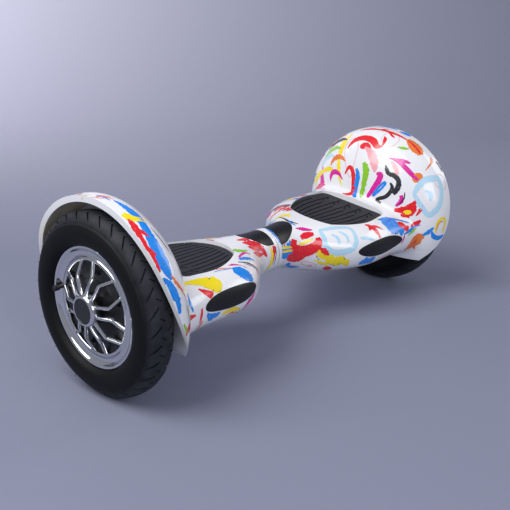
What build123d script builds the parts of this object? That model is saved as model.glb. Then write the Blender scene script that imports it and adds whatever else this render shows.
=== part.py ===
"""Two-wheeled self-balancing board with 10 inch pneumatic tyres, built as it comes apart on a bench.

X runs along the board with the right wheel at +X, -Y is the front with the lights, +Z is up.
The origin is on the ground, under the middle of the pivot. Sizes are in millimetres.
Each half is drawn once, with x counted outwards from the pivot. The left half is its mirror image.
The right half is then turned about the pivot by the rest twist.
"""

from build123d import *
from math import cos, degrees, pi, radians, sin
import os

# Overall
TYRE_R = 126.0  # a 10 x 2.125 inch tyre, outer radius
TYRE_HALF_W = 26.0
WHEEL_X = 308.0  # middle plane of each wheel, from the pivot
AXLE_Z = TYRE_R  # wheels and pivot share this height
REST_TWIST = 7.3  # the right half leans this many degrees front down
TWIST_LIMIT = 14.0  # each way, from level

# Shells
WALL = 3.0
PARTING_Z = AXLE_Z - 26.0  # upper and lower shell meet here
PARTING_GAP = 0.3
NECK_GAP = 1.0  # each neck stops this far from the middle
BODY_FLOOR_Z = AXLE_Z - 50.0
# One row for each station of the body: distance out, half width, top, bottom, squareness
STATIONS = [
    (NECK_GAP, 34.0, AXLE_Z + 31.5, AXLE_Z - 36.5, 2.0),
    (22.0, 33.5, AXLE_Z + 31.5, AXLE_Z - 38.0, 2.0),
    (40.0, 37.0, AXLE_Z + 32.0, AXLE_Z - 42.0, 2.1),
    (60.0, 50.0, AXLE_Z + 32.5, AXLE_Z - 47.0, 2.2),
    (85.0, 72.0, AXLE_Z + 33.0, BODY_FLOOR_Z, 2.3),
    (120.0, 97.0, AXLE_Z + 34.0, BODY_FLOOR_Z, 2.4),
    (165.0, 106.5, AXLE_Z + 35.5, BODY_FLOOR_Z, 2.5),
    (210.0, 105.5, AXLE_Z + 36.0, BODY_FLOOR_Z, 2.5),
    (WHEEL_X - 58.0, 112.0, AXLE_Z + 36.0, BODY_FLOOR_Z, 2.5),
    (WHEEL_X - 26.0, 126.0, AXLE_Z + 36.0, BODY_FLOOR_Z, 2.5),
]
SECTION_POINTS = 20
CREASE_R = 12.0  # soft corner between the platform and the mudguard

# Mudguard: a dome over the wheel, open outwards, with a rolled lip
DOME_X = WHEEL_X - 5.0  # widest plane of the dome
DOME_DEPTH = 68.8
DOME_R = TYRE_R + 17.5
DOME_Z = AXLE_Z + 3.0
LIP_R = TYRE_R + 9.0
LIP_T = 3.2
DOME_BOTTOM_Z = AXLE_Z - 48.0
DOME_CORNER_R = 34.0  # sweeps the foot of the mudguard up at the front and the back
# Three (x, z) points of the lip, seen from the front
LIP_CURVE = [
    (WHEEL_X - 33.0, AXLE_Z - 41.0),
    (WHEEL_X - 2.5, AXLE_Z + 34.0),
    (WHEEL_X + 10.5, AXLE_Z + TYRE_R + 20.0),
]
WELL_X = WHEEL_X - TYRE_HALF_W - 5.5  # wall between the body and the wheel well
AXLE_HOLE_R = 20.0

# Foot pad and its pocket
PAD_TOP_Z = AXLE_Z + 27.5
PAD_T = 3.6
PAD_TRAVEL = 1.2
PAD_GAP = 0.6
POCKET_FLOOR_Z = PAD_TOP_Z - PAD_T - PAD_TRAVEL - 0.3
PAD_INNER_X = 95.0
PAD_OUTER_X = 224.0
PAD_INNER_HALF = 43.0
PAD_MID_HALF = 69.0
PAD_OUTER_HALF = 64.0
PAD_MID_X = 172.0
PAD_CORNER_R = 12.0
GROOVE_W = 2.6
GROOVE_DEPTH = 1.6
GROOVES = 11
PLUNGER_X = (142.0, 190.0)
PLUNGER_R = 6.0
PLUNGER_COLLAR_R = 8.0
SWITCH_TOP_Z = AXLE_Z + 9.2

# Lights
LENS_X, LENS_Z = 172.0, AXLE_Z - 1.0
LENS_HALF_L, LENS_HALF_H = 53.0, 12.8
LENS_FIT = 0.2
WINDOW_X0, WINDOW_REACH, WINDOW_HALF_W = 7.0, 46.0, 29.0

# Cast half frame
PLATE_Z0, PLATE_T = AXLE_Z - 6.0, 5.0
PLATE_Z1 = PLATE_Z0 + PLATE_T
BOSS_R = 24.0
BOSS_X0, BOSS_X1 = 10.0, 62.0
NOTCH_HALF = 25.0  # opening in the deck behind the boss, for the tube's end and the cable
SEAT_X0, SEAT_X1, SEAT_HALF_Y = WELL_X - 38.5, WELL_X - 6.5, 30.0
CLAMP_H, CLAMP_GAP = 16.0, 0.3
CLAMP_SCREW_XY = [(SEAT_X0 + 8.0, 19.0), (SEAT_X0 + 24.0, 19.0)]
SHELL_SCREW_XY = [(78.0, 30.0), (160.0, 56.0), (236.0, 45.0)]
SCREW_R, SCREW_HEAD_R, SCREW_HEAD_H = 1.95, 4.0, 3.0
SCREW_HEAD_Z = AXLE_Z - 17.0
POST_R = 4.6

# Pivot
TUBE_R, TUBE_BORE_R = 16.0, 12.0
BUSH_T, BUSH_L = 3.0, 15.0
RUN_FIT = 0.05
STOP_X, STOP_PIN_R = 36.0, 3.0
CLIP_T, CLIP_PLAY = 1.5, 0.4
SEAL_R = 27.5

# Wheel, with offsets counted outwards from its middle plane
AXLE_R, AXLE_END_R, AXLE_FLAT = 8.5, 8.0, 6.2
RIM_R, RIM_SEAT_R, RIM_BORE_R = 83.0, 79.0, 70.5
RIM_OUT, RIM_IN = 15.0, -20.0
STATOR_R, STATOR_HALF_T = 65.6, 8.5
STATOR_MID = -8.0
SLOTS, MAGNETS = 27, 30
MAGNET_T = 3.4
AIR_GAP = 0.8
COVER_IN = -24.0
BEARING_R, BEARING_T = 17.5, 8.0
HUB_TIP = 33.0
HUB_R = 21.0
BADGE_R = 17.0
SPOKE_W = 3.4
PETALS = 6
PETAL_START = 23.0
VALVE_ANGLE, VALVE_R = 7.6, 73.0

# Rear fittings of the left half, on its rear wall
PORT_X, PORT_Z = 170.0, AXLE_Z - 7.0
PORT_R, PORT_DEPTH, PORT_FLANGE_R = 7.5, 6.0, 11.5
BUTTON_X, BUTTON_Z = 212.0, AXLE_Z - 5.0
BUTTON_R, BUTTON_TRAVEL, BUTTON_FLANGE_R = 8.6, 1.5, 12.5
REAR_Y = 104.5  # seat of both flanges

PARTS = {}


# ---------------------------------------------------------------- small helpers
def cyl_x(radius, x0, x1, y=0.0, z=AXLE_Z):
    """A round bar along X between two planes."""
    return Pos((x0 + x1) / 2, y, z) * Rot(0, 90, 0) * Cylinder(radius, x1 - x0)


def cyl_y(radius, y0, y1, x, z):
    """A round bar along Y between two planes."""
    return Pos(x, (y0 + y1) / 2, z) * Rot(90, 0, 0) * Cylinder(radius, y1 - y0)


def cyl_z(radius, z0, z1, x, y):
    """A round bar along Z between two planes."""
    return Pos(x, y, (z0 + z1) / 2) * Cylinder(radius, z1 - z0)


def block(x0, x1, y0, y1, z0, z1):
    """A box between six planes."""
    centre = Pos((x0 + x1) / 2, (y0 + y1) / 2, (z0 + z1) / 2)
    return centre * Box(x1 - x0, y1 - y0, z1 - z0)


def turned(points, z=AXLE_Z):
    """A ring turned about the X direction at height z, from (x, radius) corners."""
    outline = Polyline(*[(x, z + r) for x, r in points], close=True)
    face = Plane.XZ * make_face(outline)
    return revolve(face, Axis((0, 0, z), (1, 0, 0)))


def both_sides(points):
    """Each (x, y) and its mirror image across the middle of the board."""
    return [(x, s * y) for x, y in points for s in (1, -1)]


def group(solids):
    """Several separate pieces kept in one node."""
    return Compound([s for piece in solids for s in piece.solids()])


# ---------------------------------------------------------------- shells
def section(x, half_w, top, bottom, power, inset):
    """One rounded cross-section of the body as a face."""
    mid, half_h = (top + bottom) / 2, (top - bottom) / 2 - inset
    half_w = half_w - inset
    points = []
    for i in range(SECTION_POINTS):
        a = 2 * pi * i / SECTION_POINTS
        c, s = cos(a), sin(a)
        y = half_w * abs(c) ** (2 / power) * (1 if c > 0 else -1)
        z = mid + half_h * abs(s) ** (2 / power) * (1 if s > 0 else -1)
        points.append((x, y, z))
    return Face(Wire([Spline(*points, periodic=True)]))


def body_form(inset=0.0):
    """The solid of the foot platform and its neck, without the mudguard."""
    return loft([section(*row, inset) for row in STATIONS])


def dome_form(inset=0.0):
    """The solid of the mudguard: half an egg that opens outwards."""
    far_x = LIP_CURVE[-1][0] + 20
    depth, radius = DOME_DEPTH - inset, DOME_R - inset
    arc = EllipticalCenterArc((DOME_X, DOME_Z), depth, radius, start_angle=90, arc_size=90)
    rest = Polyline((DOME_X - depth, DOME_Z), (far_x, DOME_Z), (far_x, DOME_Z + radius), (DOME_X, DOME_Z + radius))
    face = Plane.XZ * make_face([arc, rest])
    dome = revolve(face, Axis((0, 0, DOME_Z), (1, 0, 0)))
    bottom = DOME_BOTTOM_Z + inset
    height = DOME_Z + DOME_R + 10 - bottom
    frame = Plane.YZ * Pos(0, bottom + height / 2) * Rectangle(2 * radius + 20, height)
    corners = frame.vertices().sort_by(Axis.Z)[:2]
    frame = fillet(corners, DOME_CORNER_R - inset)
    return dome & extrude(frame, far_x)


def inside_lip(shift=0.0):
    """Everything inboard of the mudguard's leaning lip."""
    (x0, z0), (x1, z1), (x2, z2) = [(x - shift, z) for x, z in LIP_CURVE]
    low, high = (x0 - (x1 - x0) / 2, z0 - (z1 - z0) / 2), (x2, z2 + 40)
    edge = ThreePointArc((x0, z0), (x1, z1), (x2, z2))
    rest = Polyline((x2, z2), high, (-20, high[1]), (-20, low[1]), low, (x0, z0))
    face = Plane.XZ * make_face([edge, rest])
    return extrude(face, DOME_R + 20, both=True)


def pad_outline(grow=0.0):
    """The foot pad seen from above, wider in the middle and with rounded corners."""
    x0, x1, xm = PAD_INNER_X - grow, PAD_OUTER_X + grow, PAD_MID_X
    hi, hm, ho = PAD_INNER_HALF + grow, PAD_MID_HALF + grow, PAD_OUTER_HALF + grow
    front = Spline((x0 + 14, -hi), (xm, -hm), (x1, -ho), tangents=[(0.85, -0.62), (1, 0.06)])
    rear = Spline((x1, ho), (xm, hm), (x0 + 14, hi), tangents=[(-1, 0.06), (-0.85, -0.62)])
    inner = ThreePointArc((x0 + 14, hi), (x0, 0), (x0 + 14, -hi))
    face = make_face([front, Line((x1, -ho), (x1, ho)), rear, inner])
    return fillet(face.vertices(), PAD_CORNER_R)


def half_pad_width(x):
    """Rough half width of the pad at a distance out, for the grooves."""
    span = PAD_MID_X - PAD_INNER_X
    if x < PAD_MID_X:
        share = min(1.0, (PAD_MID_X - x) / span)
        return PAD_MID_HALF - (PAD_MID_HALF - PAD_INNER_HALF) * share**2.2
    share = (x - PAD_MID_X) / (PAD_OUTER_X - PAD_MID_X)
    return PAD_MID_HALF - (PAD_MID_HALF - PAD_OUTER_HALF) * share**2


def lens_prism(fit=0.0):
    """An upright oval pushed through the front wall."""
    oval = Ellipse(LENS_HALF_L + fit, LENS_HALF_H + fit)
    return extrude(Plane.XZ * Pos(LENS_X, LENS_Z) * oval, 140)


def window_prism(fit=0.0):
    """A half oval pushed down through the top of the neck."""
    oval = Pos(WINDOW_X0 - fit, 0) * Ellipse(WINDOW_REACH + fit, WINDOW_HALF_W + fit)
    half = oval & Pos(WINDOW_X0 - fit + 50, 0) * Rectangle(100, 100)
    return extrude(Pos(0, 0, AXLE_Z + 6) * half, 40)


def is_crease(span):
    """Picks the edges where the mudguard rises from the platform."""
    return span.min.X > DOME_X - DOME_DEPTH - 5 and span.max.X < DOME_X - 33 and span.size.Z > 10


def shells(left):
    """The two moulded shells of a half, with the lens and window that close them."""
    body, body_in = body_form(), body_form(WALL)
    dome, dome_in = dome_form(), dome_form(WALL)
    inboard = block(-10, WELL_X - WALL, -200, 200, 40, 300)
    outboard = block(WELL_X, 400, -200, 200, 40, 300)
    rolled_lip = (inside_lip() - inside_lip(LIP_T)) - cyl_x(LIP_R, WELL_X - 60, 400, z=DOME_Z)
    hollow = (body_in + dome_in) & inboard
    well = dome_in + dome_in.moved(Location((0, 0, -2 * WALL)))
    outer = body + dome
    crease = [e for e in outer.edges() if is_crease(e.bounding_box())]
    outer = fillet(crease, CREASE_R)
    form = (outer - ((well & outboard) - rolled_lip)) & inside_lip()

    tub = Pos(0, 0, POCKET_FLOOR_Z - WALL) * extrude(pad_outline(PAD_GAP + WALL), 40)
    upper_hollow, lower_hollow = hollow - tub, hollow
    for x, y in both_sides(SHELL_SCREW_XY):
        upper_hollow -= cyl_z(POST_R, PLATE_Z1, 200, x, y)
        lower_hollow -= cyl_z(POST_R + 1.5, 60, PLATE_Z0, x, y)
    upper = (form & block(-10, 400, -200, 200, PARTING_Z + PARTING_GAP / 2, 300)) - upper_hollow
    lower = (form & block(-10, 400, -200, 200, 40, PARTING_Z - PARTING_GAP / 2)) - lower_hollow
    for x, y in both_sides(SHELL_SCREW_XY):
        post = cyl_z(POST_R + 1.5, PARTING_Z - 1, PLATE_Z0, x, y)
        lower += post
    upper -= Pos(0, 0, POCKET_FLOOR_Z) * extrude(pad_outline(PAD_GAP), 30)
    for x, y in both_sides(SHELL_SCREW_XY):
        upper -= cyl_z(SCREW_R + RUN_FIT, 90, PLATE_Z1 + 15, x, y)
        lower -= cyl_z(SCREW_HEAD_R + 0.3, 50, SCREW_HEAD_Z + SCREW_HEAD_H, x, y)
        lower -= cyl_z(SCREW_R + 0.3, 90, PLATE_Z0 + 1, x, y)
    for x in PLUNGER_X:
        upper -= cyl_z(PLUNGER_R + 0.8, POCKET_FLOOR_Z - 2 * WALL, PAD_TOP_Z, x, 0)
    slot = cyl_x(AXLE_HOLE_R, WELL_X - 2 * WALL, WELL_X + WALL)
    slot += block(WELL_X - 2 * WALL, WELL_X + WALL, -AXLE_HOLE_R, AXLE_HOLE_R, 90, AXLE_Z)
    upper = upper - slot - lens_prism(LENS_FIT) - window_prism(LENS_FIT)
    lens = (body & lens_prism()) - body_in
    window = (body & window_prism()) - body_in
    if left:
        upper -= cyl_y(PORT_FLANGE_R - 2.4, 80, 130, PORT_X, PORT_Z)
        upper -= block(PORT_X - 14, PORT_X + 14, REAR_Y, 130, PORT_Z - 14, PORT_Z + 18)
        upper -= cyl_y(BUTTON_R + 2.1, 80, 130, BUTTON_X, BUTTON_Z)
        upper -= cyl_y(BUTTON_FLANGE_R + 0.2, REAR_Y, 130, BUTTON_X, BUTTON_Z)
    return {"upper_shell": upper, "lower_shell": lower, "front_lens": lens, "top_window": window}


# ---------------------------------------------------------------- foot pad
def pad_grooves():
    """Long fanned grooves, cut short and crossed by ticks near the mudguard."""
    cuts = []
    steps = 6
    for i in range(GROOVES):
        share = -0.84 + 1.68 * i / (GROOVES - 1)
        start = PAD_INNER_X + 12 + 16 * abs(share) ** 2
        end = PAD_OUTER_X - 9 if i % 2 else PAD_OUTER_X - 42
        xs = [start + (end - start) * k / (steps - 1) for k in range(steps)]
        line = Spline(*[(x, share * half_pad_width(x)) for x in xs])
        cuts.append(trace(line, GROOVE_W))
        if i % 2 == 0 and i < GROOVES - 1:
            y = (share + 0.08) * PAD_MID_HALF
            for x in (PAD_OUTER_X - 36, PAD_OUTER_X - 24):
                cuts.append(trace(Line((x, y - 3), (x + 9, y + 3)), GROOVE_W))
    return cuts


def foot_pad():
    """The ribbed rubber mat, moulded with the two plungers that press the foot switches."""
    base_z = PAD_TOP_Z - PAD_T
    mat = Pos(0, 0, base_z) * extrude(pad_outline(), PAD_T)
    for cut in pad_grooves():
        mat -= Pos(0, 0, PAD_TOP_Z - GROOVE_DEPTH) * extrude(cut, GROOVE_DEPTH + 1)
    collar_z = POCKET_FLOOR_Z - WALL - 0.3
    for x in PLUNGER_X:
        mat += cyl_z(PLUNGER_R, SWITCH_TOP_Z + PAD_TRAVEL + 0.3, base_z, x, 0)
        mat += cyl_z(PLUNGER_COLLAR_R, collar_z - 1.6, collar_z, x, 0)
    return mat


# ---------------------------------------------------------------- frame and electronics
def frame_outline():
    """The half frame's plate seen from above."""
    side = [(34, 28), (48, 35), (62, 44), (84, 60), (112, 67), (SEAT_X0, 67), (SEAT_X1, 60)]
    return Polyline(*side, *[(x, -y) for x, y in reversed(side)], close=True)


def axle_stub():
    """The flatted end of the axle, also used to cut its seat."""
    stub = cyl_x(AXLE_END_R, SEAT_X0 - 2, SEAT_X1 + 9)
    return stub & block(SEAT_X0 - 2, SEAT_X1 + 9, -20, 20, AXLE_Z - AXLE_FLAT, AXLE_Z + AXLE_FLAT)


def half_frame(left):
    """Cast aluminium half frame: pivot boss, deck plate and the lower half of the axle seat."""
    frame = Pos(0, 0, PLATE_Z0) * extrude(make_face(frame_outline()), PLATE_T)
    frame -= block(BOSS_X1, BOSS_X1 + 30, -NOTCH_HALF, NOTCH_HALF, PLATE_Z0 - 1, PLATE_Z1 + 1)
    for y in (-67.0, 64.0):
        frame += block(112, 236, y, y + 3, PLATE_Z0 - 12, PLATE_Z0)
    frame += cyl_x(BOSS_R, BOSS_X0, BOSS_X1)
    frame += block(SEAT_X0, SEAT_X1, -SEAT_HALF_Y, SEAT_HALF_Y, AXLE_Z - 20, AXLE_Z)
    bore = TUBE_R if left else TUBE_R + BUSH_T
    frame -= cyl_x(bore, BOSS_X0 - 5, BOSS_X1 + 1)
    frame -= axle_stub()
    if not left:
        spread = degrees(STOP_PIN_R / TUBE_R) + TWIST_LIMIT + 1.5
        reach = 2 * BOSS_R
        a, b = radians(90 - spread), radians(90 + spread)
        tips = [(0, 0), (reach * cos(a), reach * sin(a)), (reach * cos(b), reach * sin(b))]
        wedge = Plane.YZ * make_face(Polyline(*tips, close=True))
        frame -= Pos(STOP_X - STOP_PIN_R - 0.5, 0, AXLE_Z) * extrude(wedge, 2 * STOP_PIN_R + 1)
    for x, y in both_sides(SHELL_SCREW_XY):
        frame -= cyl_z(SCREW_R + 0.3, 90, PLATE_Z1 + 1, x, y)
    for x, y in both_sides(CLAMP_SCREW_XY):
        frame -= cyl_z(3.05, AXLE_Z - 15, AXLE_Z + 1, x, y)
    return frame


def axle_clamp():
    """The block that holds the axle down in its seat, and its four screws."""
    z0 = AXLE_Z + CLAMP_GAP
    clamp = block(SEAT_X0 + 1, SEAT_X1 - 1, -SEAT_HALF_Y + 1, SEAT_HALF_Y - 1, z0, z0 + CLAMP_H)
    clamp -= axle_stub()
    screws = []
    for x, y in both_sides(CLAMP_SCREW_XY):
        clamp -= cyl_z(3.2, z0 - 1, z0 + CLAMP_H + 1, x, y)
        head = cyl_z(5.0, z0 + CLAMP_H, z0 + CLAMP_H + 6, x, y)
        head -= Pos(x, y, z0 + CLAMP_H + 3) * extrude(RegularPolygon(2.9, 6), 4)
        screws.append(head + cyl_z(3.0, AXLE_Z - 14, z0 + CLAMP_H, x, y))
    return {"axle_clamp": clamp, "clamp_screws": group(screws)}


def shell_screws():
    """Long self-tapping screws, put in from below through the frame into the upper shell."""
    screws = []
    for x, y in both_sides(SHELL_SCREW_XY):
        top = SCREW_HEAD_Z + SCREW_HEAD_H
        head = cyl_z(SCREW_HEAD_R, SCREW_HEAD_Z, top, x, y)
        head -= block(x - 2.6, x + 2.6, y - 0.6, y + 0.6, SCREW_HEAD_Z - 1, SCREW_HEAD_Z + 1.6)
        head -= block(x - 0.6, x + 0.6, y - 2.6, y + 2.6, SCREW_HEAD_Z - 1, SCREW_HEAD_Z + 1.6)
        screws.append(head + cyl_z(SCREW_R, top, PLATE_Z1 + 14, x, y))
    return group(screws)


def sensor_board():
    """Gyroscope board on the deck, with a foot switch under each plunger."""
    z0 = PLATE_Z1 + 4
    board = block(120, 212, -24, 24, z0, z0 + 1.6)
    for x, y in both_sides([(125, 20), (207, 20)]):
        board += cyl_z(2.5, PLATE_Z1, z0, x, y)
    for x in PLUNGER_X:
        board += block(x - 5, x + 5, -4, 4, z0 + 1.6, SWITCH_TOP_Z)
    board += block(158, 170, -7, 5, z0 + 1.6, z0 + 3.2)
    board += block(155, 177, 14, 20, z0 + 1.6, z0 + 8)
    return board


def lamp_boards():
    """Lamps behind the front lens, on a bracket from the deck, and lamps under the neck window."""
    y_out = -88.0
    bracket = block(160, 184, y_out, -58, PLATE_Z1, PLATE_Z1 + 1.5)
    board = block(138, 206, y_out - 1.6, y_out, LENS_Z - 9, LENS_Z + 9)
    for x in (148, 164, 180, 196):
        board += block(x - 3.5, x + 3.5, y_out - 3.6, y_out - 1.6, LENS_Z - 3.5, LENS_Z + 3.5)
    z0 = AXLE_Z + BOSS_R
    small = block(14, 46, -9, 9, z0, z0 + 1.2)
    for x in (20, 30, 40):
        small += block(x - 2, x + 2, -2, 2, z0 + 1.2, z0 + 2.4)
    return group([bracket, board, small])


def mainboard():
    """Motor controller hung under the left deck on four posts, with its capacitors and plugs."""
    z1 = PLATE_Z0 - 6
    board = block(100, 216, -40, 40, z1 - 1.6, z1)
    for x, y in both_sides([(105, 35), (211, 35)]):
        board += cyl_z(3, z1, PLATE_Z0, x, y)
    for x, y in ((125, -24), (125, 0), (125, 24)):
        board += cyl_z(8, z1 - 24, z1 - 1.6, x, y)
    for k in range(6):
        x = 150 + 9 * k
        board += block(x, x + 5, -34, -24, z1 - 7, z1 - 1.6)
        board += block(x, x + 5, -16, -6, z1 - 7, z1 - 1.6)
    board += block(150, 200, 4, 16, z1 - 13, z1 - 1.6)
    board += block(150, 162, 22, 34, z1 - 11, z1 - 1.6)
    board += block(172, 196, 24, 34, z1 - 9, z1 - 1.6)
    return board


def battery_pack():
    """Twenty-cell pack in its wrap, held up against the right deck by two straps."""
    x0, x1, half_y, z0 = 96.0, 222.0, 45.0, AXLE_Z - 41.0
    top = PLATE_Z0 - 0.1
    pack = fillet(block(x0, x1, -half_y, half_y, z0 + 1.5, top).edges().filter_by(Axis.X), 8)
    straps = []
    for x in (120.0, 186.0):
        outer = block(x, x + 16, -half_y - 4.5, half_y + 4.5, z0 - 0.2, PLATE_Z0)
        inner = block(x - 1, x + 17, -half_y - 3, half_y + 3, z0 + 1.3, PLATE_Z0 + 1)
        straps.append(outer - inner)
    return {"battery_pack": pack, "battery_straps": group(straps)}


# ---------------------------------------------------------------- pivot
def pivot():
    """Tube held fast in the left boss, turning on two bushes in the right one."""
    clip_x = BOSS_X1 + CLIP_PLAY
    tube = cyl_x(TUBE_R, -BOSS_X1, BOSS_X1 + 5) - cyl_x(TUBE_BORE_R, -BOSS_X1 - 1, BOSS_X1 + 6)
    tube -= cyl_x(TUBE_R + 1, clip_x, clip_x + CLIP_T) - cyl_x(TUBE_R - 1.2, clip_x, clip_x + CLIP_T)
    tube += cyl_z(STOP_PIN_R, AXLE_Z + TUBE_BORE_R + 1, AXLE_Z + BOSS_R - 0.4, STOP_X, 0)
    clip = cyl_x(TUBE_R + 5, clip_x, clip_x + CLIP_T) - cyl_x(TUBE_R - 1.2, clip_x - 1, clip_x + 3)
    clip -= block(clip_x - 1, clip_x + 3, -4, 4, AXLE_Z, AXLE_Z + 30)
    bushes = []
    for x in (BOSS_X0, BOSS_X1 - BUSH_L):
        ring = cyl_x(TUBE_R + BUSH_T, x, x + BUSH_L) - cyl_x(TUBE_R + RUN_FIT, x - 1, x + BUSH_L + 1)
        bushes.append(ring)
    seal = cyl_x(SEAL_R, -BOSS_X0 - 3, BOSS_X0 - 0.4) - cyl_x(BOSS_R, -BOSS_X0 - 4, BOSS_X0)
    seal += cyl_x(SEAL_R, -BOSS_X0 + 0.1, -2) - cyl_x(TUBE_R + 0.1, -BOSS_X0, 0)
    cable_z = AXLE_Z - TUBE_BORE_R + 4.6
    cable = cyl_x(4.4, -BOSS_X1 - 14, BOSS_X1 + 14, z=cable_z)
    for x in (-BOSS_X1 - 24, BOSS_X1 + 14):
        cable += block(x, x + 10, -6, 6, cable_z - 5, cable_z + 5)
    return {
        "pivot_tube": tube,
        "pivot_bushes": group(bushes),
        "pivot_clip": clip,
        "neck_seal": seal,
        "link_cable": cable,
    }


# ---------------------------------------------------------------- wheel
def tyre():
    """Hollow tyre: tread and sidewalls over the rim's flanges, beads on the rim's seats."""
    sx, z = WHEEL_X, AXLE_Z
    drop = [(0, 0), (10, 1.2), (17, 6.0), (21.5, 13.5), (25.0, 22), (26, 31), (23, 39)]
    crown = [(sx + u, z + TYRE_R - d) for u, d in drop]
    crown = [(2 * sx - x, r) for x, r in reversed(crown[1:])] + crown
    foot = [crown[-1], (sx + 17, z + RIM_R + 0.1), (sx + 11, z + RIM_R + 0.1), (sx + 11, z + RIM_SEAT_R)]
    foot += [(sx + 7, z + RIM_SEAT_R), (sx + 8, z + 86), (sx + 15, z + 91), (sx + 19, z + 99)]
    foot += [(sx + 16, z + 110), (sx, z + 118)]
    across = [(2 * sx - x, r) for x, r in reversed(foot[:-1])]
    face = Plane.XZ * make_face([Spline(*crown), Polyline(*foot, *across)])
    return revolve(face, Axis((0, 0, z), (1, 0, 0)))


def polar(count, start=0.0):
    """Angles of a ring of equal features, in degrees."""
    return [start + 360.0 * k / count for k in range(count)]


def round_axle(shape, angle):
    """A piece turned about the axle by an angle in degrees."""
    return shape.rotate(Axis((0, 0, AXLE_Z), (1, 0, 0)), angle)


def hub_motor():
    """The rotor shell, its covers, magnets and bearings, and the stator on its fixed axle."""
    wx = WHEEL_X
    rim = turned([
        (wx + RIM_IN, RIM_BORE_R), (wx + RIM_OUT - 4, RIM_BORE_R), (wx + RIM_OUT - 4, RIM_R - 6),
        (wx + RIM_OUT, RIM_R - 3), (wx + RIM_OUT, RIM_R), (wx + RIM_OUT - 3.9, RIM_R),
        (wx + RIM_OUT - 3.9, RIM_SEAT_R - 0.05), (wx - RIM_OUT + 3.9, RIM_SEAT_R - 0.05),
        (wx - RIM_OUT + 3.9, RIM_R), (wx - RIM_OUT, RIM_R), (wx - RIM_OUT, RIM_SEAT_R),
        (wx + RIM_IN, RIM_SEAT_R),
    ])
    lo, hi = wx + STATOR_MID - STATOR_HALF_T, wx + STATOR_MID + STATOR_HALF_T
    magnets = []
    for a in polar(MAGNETS):
        r = STATOR_R + AIR_GAP + MAGNET_T / 2
        bar = block(lo, hi, -6.2, 6.2, AXLE_Z + r - MAGNET_T / 2, AXLE_Z + r + MAGNET_T / 2)
        curved = bar & cyl_x(RIM_BORE_R, lo, hi)
        magnets.append(round_axle(curved, a))
    core = cyl_x(34, lo, hi) - cyl_x(27, lo - 1, hi + 1)
    core += cyl_x(14, lo, hi)
    for a in polar(6):
        core += round_axle(block(lo, hi, -3, 3, AXLE_Z + 12, AXLE_Z + 29), a)
    tooth = block(lo, hi, -2.4, 2.4, AXLE_Z + 33, AXLE_Z + STATOR_R - 3)
    shoe = block(lo, hi, -6.6, 6.6, AXLE_Z + STATOR_R - 4, AXLE_Z + STATOR_R + 1)
    tooth += shoe & cyl_x(STATOR_R, lo, hi)
    coil = block(lo - 3.5, hi + 3.5, -3.6, 3.6, AXLE_Z + 41, AXLE_Z + STATOR_R - 5)
    coil -= block(lo - 0.02, hi + 0.02, -2.42, 2.42, AXLE_Z + 35, AXLE_Z + STATOR_R)
    coils = []
    for a in polar(SLOTS):
        core += round_axle(tooth, a)
        coils.append(round_axle(coil, a))
    core -= cyl_x(AXLE_R, lo - 1, hi + 1)

    inner_x = wx + COVER_IN
    cover_in = turned([
        (inner_x, BEARING_R + 4), (inner_x, 77), (inner_x + 3.9, 77), (inner_x + 3.9, BEARING_R + 7),
        (inner_x + 6, BEARING_R + 7), (inner_x + 6, BEARING_R), (inner_x - 2, BEARING_R),
        (inner_x - 2, AXLE_R + 3), (inner_x - 4, AXLE_R + 3), (inner_x - 4, BEARING_R + 4),
    ])
    outer_x = wx + 7.0
    cover_out = turned([
        (outer_x - 4, BEARING_R), (outer_x - 4, BEARING_R + 5), (outer_x, BEARING_R + 5),
        (outer_x, RIM_BORE_R - 0.1), (outer_x + 4, RIM_BORE_R - 0.1), (outer_x + 4, 40),
        (outer_x + 8, BEARING_R + 5), (outer_x + 8, 4), (outer_x + 4.1, 4), (outer_x + 4.1, BEARING_R),
    ])
    bearings = []
    for x in (inner_x - 2, outer_x - 4):
        ring = cyl_x(BEARING_R, x, x + BEARING_T) - cyl_x(AXLE_R + RUN_FIT, x - 1, x + BEARING_T + 1)
        ring -= cyl_x(15, x - 1, x + 0.8) - cyl_x(11, x - 1, x + 0.8)
        bearings.append(ring)
    bolts = []
    for a in polar(6, 10):
        bolt = cyl_x(4.2, outer_x + 4, outer_x + 6.8, z=AXLE_Z + 50)
        bolts.append(round_axle(bolt - cyl_x(2.0, outer_x + 5.2, outer_x + 7, z=AXLE_Z + 50), a))
        bolt = cyl_x(3.6, inner_x - 2.2, inner_x, z=AXLE_Z + 73)
        bolts.append(round_axle(bolt - cyl_x(1.8, inner_x - 3, inner_x - 1.2, z=AXLE_Z + 73), a))
    axle = cyl_x(AXLE_R, SEAT_X1 + 9, outer_x + 4) + axle_stub()
    collar_x = hi + 0.2
    axle += cyl_x(AXLE_R + 2.2, collar_x, outer_x - 4.3)
    return {
        "hub_rim": rim,
        "motor_magnets": group(magnets),
        "stator_core": core,
        "stator_coils": group(coils),
        "inner_motor_cover": cover_in,
        "outer_motor_cover": cover_out,
        "wheel_bearings": group(bearings),
        "cover_bolts": group(bolts),
        "axle": axle,
    }


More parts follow.
